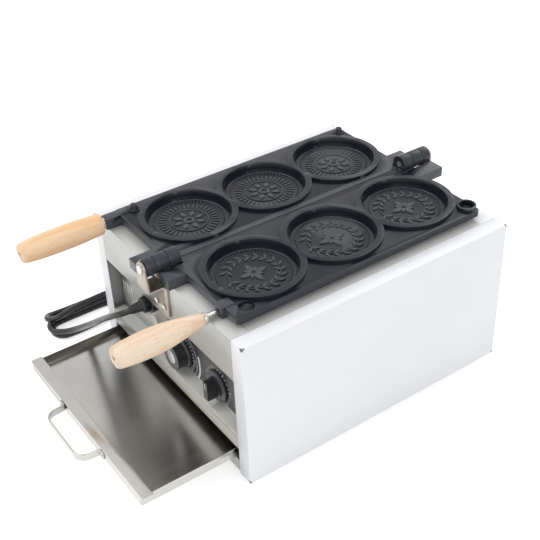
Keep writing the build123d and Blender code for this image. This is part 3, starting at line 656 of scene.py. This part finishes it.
class COINMAKER_OT_moulds(bpy.types.Operator):
    """Cast moulds with soft edges and raised relief in the six coin pockets"""

    bl_idname = "coin_maker.moulds"
    bl_label = "Coin moulds"

    row_x = 0.066
    pitch = 0.105
    middle_y = 0.0025
    floor_z = 0.2020
    floor_radius = 0.0475
    rim_inset, bead_inset, bead_count = 0.0030, 0.0070, 64
    sunk = 0.0003
    slope = 0.88

    def execute(self, context):
        sizes = size_settings()
        coating = cast_coating()
        for side, name in ((-1, "left_mould"), (1, "right_mould")):
            cast = rounded_copy(name, name, coating, sizes.edge, angle=35, segments=3)
            bm = bmesh.new()
            for step in (-1, 0, 1):
                centre = Vector((side * self.row_x, self.middle_y + step * self.pitch, self.floor_z))
                if side < 0:
                    self.star_coin(bm, centre)
                else:
                    self.wreath_coin(bm, centre)
            relief = new_piece(f"{name}_relief", bm, name, coating, smooth=40)
        return {"FINISHED"}

    def ring(self, bm, centre, radius, width, height):
        """A low rounded ring on the pocket's floor."""
        half, shoulder = width / 2, height * 0.6
        profile = [
            (-half, -self.sunk),
            (-half, shoulder),
            (-half * 0.5, height),
            (half * 0.5, height),
            (half, shoulder),
            (half, -self.sunk),
        ]
        verts = [bm.verts.new((radius + r, 0, z)) for r, z in profile]
        edges = [bm.edges.new((a, b)) for a, b in zip(verts, verts[1:] + verts[:1])]
        spun(bm, verts, edges, (0, 0, 1), steps=96)
        self.settle(bm, verts, centre)

    def settle(self, bm, seeds, centre, turn=0.0):
        """Moves everything joined to the seed vertices to its pocket."""
        found, queue = set(seeds), list(seeds)
        while queue:
            vert = queue.pop()
            for edge in vert.link_edges:
                other = edge.other_vert(vert)
                if other not in found:
                    found.add(other)
                    queue.append(other)
        verts = list(found)
        bmesh.ops.remove_doubles(bm, verts=verts, dist=0.000001)
        verts = [v for v in verts if v.is_valid]
        faces = {f for v in verts for f in v.link_faces}
        bmesh.ops.recalc_face_normals(bm, faces=list(faces))
        place = Matrix.Translation(centre) @ Matrix.Rotation(turn, 4, "Z")
        bmesh.ops.transform(bm, matrix=place, verts=verts)

    def beads(self, bm, centre, radius, count):
        """A ring of small round beads."""
        size = size_settings().bead
        for step in range(count):
            angle = 2 * math.pi * step / count
            place = centre + Vector((radius * math.cos(angle), radius * math.sin(angle), 0.0))
            bmesh.ops.create_uvsphere(
                bm, u_segments=8, v_segments=6, radius=size, matrix=Matrix.Translation(place)
            )

    def raised_shape(self, bm, centre, outline, turn=0.0, height=None):
        """A flat raised shape with a sloped edge, from its outline."""
        height = height or size_settings().relief
        verts = [bm.verts.new((x, y, -self.sunk)) for x, y in outline]
        face = bm.faces.new(verts)
        made = bmesh.ops.extrude_face_region(bm, geom=[face])
        top = [g for g in made["geom"] if isinstance(g, bmesh.types.BMVert)]
        bmesh.ops.translate(bm, verts=top, vec=(0, 0, height + self.sunk))
        middle = sum((v.co for v in top), Vector()) / len(top)
        for vert in top:
            vert.co = Vector((*(middle.xy + (vert.co.xy - middle.xy) * self.slope), vert.co.z))
        self.settle(bm, verts, centre, turn)

    def petal(self, reach, width, start, points=7):
        """Outline of a pointed leaf or petal that starts at a distance from the middle."""
        left = [
            (start + reach * i / points, width / 2 * math.sin(math.pi * (i / points) ** 0.8))
            for i in range(points + 1)
        ]
        right = [(x, -y) for x, y in reversed(left[1:-1])]
        return left + right

    def border(self, bm, centre):
        """The ring at the pocket's rim, with the ring of beads inside it."""
        self.ring(bm, centre, self.floor_radius - self.rim_inset, width=0.0016, height=0.0011)
        self.beads(bm, centre, self.floor_radius - self.bead_inset, self.bead_count)

    def star_coin(self, bm, centre):
        """A flower of eight petals inside a beaded ring, with a ring of short bars."""
        petals, bars = 8, 36
        bar_start, bar_end = 0.0262, 0.0352
        self.border(bm, centre)
        self.ring(bm, centre, radius=0.0225, width=0.0014, height=0.0011)
        self.ring(bm, centre, radius=0.0050, width=0.0030, height=0.0015)
        petal = self.petal(reach=0.0125, width=0.0058, start=0.0078)
        for step in range(petals):
            self.raised_shape(bm, centre, petal, 2 * math.pi * step / petals)
        bar = [(bar_start, -0.0009), (bar_end, -0.0012), (bar_end, 0.0012), (bar_start, 0.0009)]
        for step in range(bars):
            self.raised_shape(bm, centre, bar, 2 * math.pi * step / bars, height=0.0009)

    def wreath_coin(self, bm, centre):
        """An open wreath of paired leaves round an eight-pointed star, inside a beaded ring."""
        wreath_radius, pairs, first_pair, sweep = 0.0290, 18, -90, 320
        self.border(bm, centre)
        self.ring(bm, centre, wreath_radius, width=0.0012, height=0.0010)
        leaf = self.petal(reach=0.0098, width=0.0036, start=0.0004)
        for step in range(pairs):
            angle = math.radians(first_pair + sweep * step / (pairs - 1))
            stem = centre + Vector((wreath_radius * math.cos(angle), wreath_radius * math.sin(angle), 0.0))
            for lean in (-0.75, 0.75):
                self.raised_shape(bm, stem, leaf, angle + math.pi / 2 + lean)
        long_point = self.petal(reach=0.0165, width=0.0078, start=0.0012)
        short_point = self.petal(reach=0.0105, width=0.0050, start=0.0012)
        for step in range(4):
            turn = math.pi / 2 * step
            self.raised_shape(bm, centre, long_point, turn)
            self.raised_shape(bm, centre, short_point, turn + math.pi / 4)


class COINMAKER_OT_handles(bpy.types.Operator):
    """Turned wooden handles and their steel rods"""

    bl_idname = "coin_maker.handles"
    bl_label = "Wooden handles"

    neck_y = -0.1875
    grip_length = 0.100
    left_profile = (
        (0.0, 0.0108),
        (0.0006, 0.0118),
        (0.0020, 0.0124),
        (0.0080, 0.0130),
        (0.0160, 0.0135),
        (0.0300, 0.0141),
        (0.0450, 0.01440),
        (0.0600, 0.01430),
        (0.0760, 0.01385),
        (0.0880, 0.01300),
        (0.0955, 0.01215),
        (0.0985, 0.01130),
        (0.0997, 0.01020),
        (0.1000, 0.00900),
    )
    right_profile = (
        (0.0, 0.0056),
        (0.0005, 0.0064),
        (0.0016, 0.0069),
        (0.0060, 0.0077),
        (0.0120, 0.0087),
        (0.0200, 0.0101),
        (0.0300, 0.0118),
        (0.0420, 0.0134),
        (0.0540, 0.01422),
        (0.0640, 0.01430),
        (0.0760, 0.01390),
        (0.0880, 0.01300),
        (0.0955, 0.01215),
        (0.0985, 0.01130),
        (0.0997, 0.01020),
        (0.1000, 0.00900),
    )
    bore = 0.0030
    bore_depth = 0.012

    def execute(self, context):
        colours = finish_settings()
        woods = (
            turned_wood("warm_turned_wood", colours.left_pale_wood, colours.left_dark_wood),
            turned_wood("pale_turned_wood", colours.pale_wood, colours.dark_wood),
        )
        for side, profile, wood in zip(("left", "right"), (self.left_profile, self.right_profile), woods):
            name, body = f"{side}_handle", f"{side}_mould"
            low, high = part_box(name)
            middle = (Vector(low) + Vector(high)) / 2
            bm = bmesh.new()
            outline = [(radius, -along) for along, radius in profile]
            outline += [(self.bore, -self.grip_length), (self.bore, self.bore_depth - self.grip_length)]
            turned(bm, outline, Vector((middle.x, self.neck_y, middle.z)))
            grip = new_piece(f"{name}_grip", bm, body, wood, smooth=50)
            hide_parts(name)
        steel = satin_steel("handle_rod_steel", (0.62, 0.61, 0.59), "y", 0.24)
        for side in ("left", "right"):
            rounded_copy(f"{side}_handle_rod", f"{side}_mould", steel, 0.0004)
        return {"FINISHED"}


class COINMAKER_OT_tray(bpy.types.Operator):
    """Bright drip tray with its bow handle"""

    bl_idname = "coin_maker.tray"
    bl_label = "Drip tray"

    def execute(self, context):
        steel = satin_steel("bright_tray_steel", finish_settings().bright_steel, "y", 0.22, 0.04)
        for name, width in (("drip_tray", 0.0004), ("tray_handle", 0.0006)):
            piece = rounded_copy(name, "tray", steel, width, segments=3)
        return {"FINISHED"}


class COINMAKER_OT_controls(bpy.types.Operator):
    """Knobs, printed dials, label plate, lamp and cable gland"""

    bl_idname = "coin_maker.controls"
    bl_label = "Knobs, dials and gland"

    knob_z = 0.089
    timer_x, heat_x = 0.009, 0.082
    dials = (("timer_knob", timer_x, 25), ("heat_knob", heat_x, 21))
    panel_front, plate_front = -0.1655, -0.1661
    print_lift = 0.0001
    tick_inner, tick_outer, long_tick = 0.0205, 0.0236, 0.0014
    cord_way = (-0.232, -0.954, -0.192)

    def execute(self, context):
        colours = finish_settings()
        black = two_tone_knob(colours.plastic)
        white = moulded("printed_marks", colours.print_white, 0.5, 0.6, 2000.0, 0.00003, 0.1)
        for name, x, ticks in self.dials:
            knob = rounded_copy(name, name, black, 0.0006, segments=3)
            self.pointer(name, x, white)
            self.ticks(name, x, ticks, white)
        self.arc("timer_zone", 0.0335, 0.0366, -34, 22, white)
        self.arc("timer_ring", 0.0288, 0.0293, -60, 240, white)
        self.cap_disc()
        dark = moulded("dark_plate", (0.03, 0.031, 0.034), 0.3, 0.42)
        rounded_copy("control_label_plate", "housing", dark, 0.0002)
        lens = Nodes("lamp_lens")
        cloud = lens.ranged(lens.noise((300, 300, 300)), 0, 1)
        lens.drive("Base Color", lens.mixed(cloud, (0.60, 0.59, 0.56), (0.70, 0.69, 0.66)))
        lens.set(roughness=0.2, coat_weight=0.5, coat_roughness=0.08)
        repaint(["indicator_lamp"], lens.material)
        gland = moulded("gland_nylon", colours.rubber, 0.36, 0.5)
        for name in ("gland_body", "gland_nut"):
            piece = rounded_copy(name, "housing", gland, 0.0005)
        self.gland_ribs(gland)
        self.gland_boot(gland)
        self.grille()
        return {"FINISHED"}

    def arc(self, name, inner, outer, start, end, white):
        """Arc printed round the timer's knob, between two radii and two angles from +X."""
        steps, half = 40, 0.0001
        section = ((inner, half), (inner, -half), (outer, -half), (outer, half))
        bm = bmesh.new()
        rows = []
        for step in range(steps + 1):
            angle = math.radians(start + (end - start) * step / steps)
            across = Vector((math.cos(angle), 0.0, math.sin(angle)))
            rows.append([bm.verts.new(across * radius + Vector((0, y, 0))) for radius, y in section])
        for first, second in zip(rows, rows[1:]):
            for k in range(4):
                bm.faces.new((first[k], first[(k + 1) % 4], second[(k + 1) % 4], second[k]))
        for row in (rows[0], rows[-1]):
            bm.faces.new(row)
        bmesh.ops.recalc_face_normals(bm, faces=bm.faces)
        place = (self.timer_x, self.plate_front - self.print_lift, self.knob_z)
        bmesh.ops.translate(bm, vec=place, verts=bm.verts)
        marks = new_piece(name, bm, "housing", white)

    def cap_disc(self):
        """Bright disc set in the front of the timer's round grip."""
        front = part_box("timer_knob")[0][1]
        steel = satin_steel("cap_disc_steel", (0.62, 0.63, 0.65), "x", 0.3)
        outline = [(0.0078, 0.0), (0.0084, 0.0001), (0.0084, 0.0003)]
        bm = bmesh.new()
        turned(bm, outline, Vector((self.timer_x, front - 0.0001, self.knob_z)))
        disc = new_piece("timer_cap_disc", bm, "timer_knob", steel, smooth=30)

    def gland_boot(self, material):
        """Ribbed boot of the gland, leaning with the cord."""
        ribs, pitch, taper, groove = 5, 0.0026, 0.00035, 0.0008
        bm = bmesh.new()
        outline = [(0.0038, 0.004), (0.0068, 0.004)]
        for step in range(ribs):
            start, radius = -0.0002 - pitch * step, 0.0066 - taper * step
            outline += [(radius, start), (radius, start - 0.0016)]
            outline += [(radius - groove, start - 0.0018), (radius - groove, start - 0.0025)]
        outline += [(0.0040, -0.0136)]
        turned(bm, outline, Vector((0, 0, 0)), steps=32)
        lean = Vector((0, -1, 0)).rotation_difference(Vector(self.cord_way))
        bmesh.ops.rotate(bm, cent=(0, 0, 0), matrix=lean.to_matrix(), verts=bm.verts)
        bmesh.ops.translate(bm, vec=COINMAKER_OT_cord.lead[0], verts=bm.verts)
        boot = new_piece("gland_boot", bm, "housing", material, smooth=30)

    def grille(self):
        """Thin pressed louvres and one screw at the left end of the control panel."""
        louvres, first_x, pitch, middle_z = 5, -0.1325, 0.0052, 0.0925
        screw_x, screw_z = -0.1352, 0.1165
        bm = bmesh.new()
        for step in range(louvres):
            verts = block(bm, (0.0016, 0.0008, 0.034))
            place = (first_x + pitch * step, self.panel_front - 0.0001, middle_z)
            bmesh.ops.translate(bm, vec=place, verts=verts)
        soften(bm, 0.0003)
        steel = satin_steel("louvre_steel", (0.62, 0.62, 0.60), "z", 0.3)
        ribs = new_piece("panel_louvres", bm, "housing", steel, smooth=40)
        bm = bmesh.new()
        head = [(0.0022, 0.0003), (0.0022, -0.0004), (0.0016, -0.0009)]
        turned(bm, head, Vector((screw_x, self.panel_front, screw_z)), steps=24)
        screw = new_piece("panel_screw", bm, "housing", steel, smooth=30)

    def pointer(self, name, x, white):
        """White line on the front of a knob's grip."""
        front, lift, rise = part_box(name)[0][1], 0.00005, 0.0068
        bm = bmesh.new()
        block(bm, (0.0012, 0.0003, 0.0075))
        soften(bm, 0.0001)
        bmesh.ops.translate(bm, vec=(x, front - lift, self.knob_z + rise), verts=bm.verts)
        mark = new_piece(f"{name}_pointer", bm, name, white, smooth=30)

    def ticks(self, name, x, count, white):
        """Ring of printed ticks round a knob, every fourth one longer and broader."""
        first_angle, sweep = -135, 270
        place = (x, self.plate_front - self.print_lift, self.knob_z)
        bm = bmesh.new()
        for step in range(count):
            angle = math.radians(first_angle + sweep * step / (count - 1))
            width, extra = (0.0009, self.long_tick) if step % 4 == 0 else (0.0006, 0.0)
            span = self.tick_outer + extra - self.tick_inner
            verts = block(bm, (width, 0.0002, span))
            bmesh.ops.translate(bm, vec=(0, 0, self.tick_inner + span / 2), verts=verts)
            bmesh.ops.rotate(bm, cent=(0, 0, 0), matrix=Matrix.Rotation(angle, 3, "Y"), verts=verts)
            bmesh.ops.translate(bm, vec=place, verts=verts)
        marks = new_piece(f"{name}_scale", bm, "housing", white)

    def gland_ribs(self, material):
        """Grip ribs round the gland's nut."""
        count, setback = 12, 0.0025
        low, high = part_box("gland_nut")
        centre = (Vector(low) + Vector(high)) / 2
        radius = (high[0] - low[0]) / 2
        bm = bmesh.new()
        for step in range(count):
            turn = Matrix.Rotation(2 * math.pi * step / count, 3, "Y")
            verts = block(bm, (0.0018, 0.0075, 0.0012))
            bmesh.ops.translate(bm, vec=(0, 0, radius), verts=verts)
            bmesh.ops.rotate(bm, cent=(0, 0, 0), matrix=turn, verts=verts)
        bmesh.ops.translate(bm, vec=(centre.x, centre.y + setback, centre.z), verts=bm.verts)
        ribs = new_piece("gland_nut_ribs", bm, "housing", material, smooth=30)


class COINMAKER_PT_panel(bpy.types.Panel):
    """The bread maker's colours, sizes and building steps"""

    bl_label = "Coin bread maker"
    bl_idname = "COINMAKER_PT_panel"
    bl_space_type = "VIEW_3D"
    bl_region_type = "UI"
    bl_category = "Bread Maker"

    def draw(self, context):
        for group in (finish_settings(), size_settings()):
            box = self.layout.box()
            for name in group.__annotations__:
                box.prop(group, name)
        for operator in STEPS:
            self.layout.operator(operator.bl_idname)


STEPS = (
    COINMAKER_OT_stage,
    COINMAKER_OT_cord,
    COINMAKER_OT_housing,
    COINMAKER_OT_moulds,
    COINMAKER_OT_handles,
    COINMAKER_OT_tray,
    COINMAKER_OT_controls,
)
CLASSES = (CoinMakerFinish, CoinMakerSizes, *STEPS, COINMAKER_PT_panel)


def register():
    for cls in CLASSES:
        bpy.utils.register_class(cls)
    bpy.types.Scene.coin_maker_finish = bpy.props.PointerProperty(type=CoinMakerFinish)
    bpy.types.Scene.coin_maker_sizes = bpy.props.PointerProperty(type=CoinMakerSizes)


def unregister():
    del bpy.types.Scene.coin_maker_sizes
    del bpy.types.Scene.coin_maker_finish
    for cls in reversed(CLASSES):
        bpy.utils.unregister_class(cls)


def main():
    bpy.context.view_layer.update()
    register()
    for operator in STEPS:
        group, name = operator.bl_idname.split(".")
        getattr(getattr(bpy.ops, group), name)()


if __name__ == "__main__":
    main()
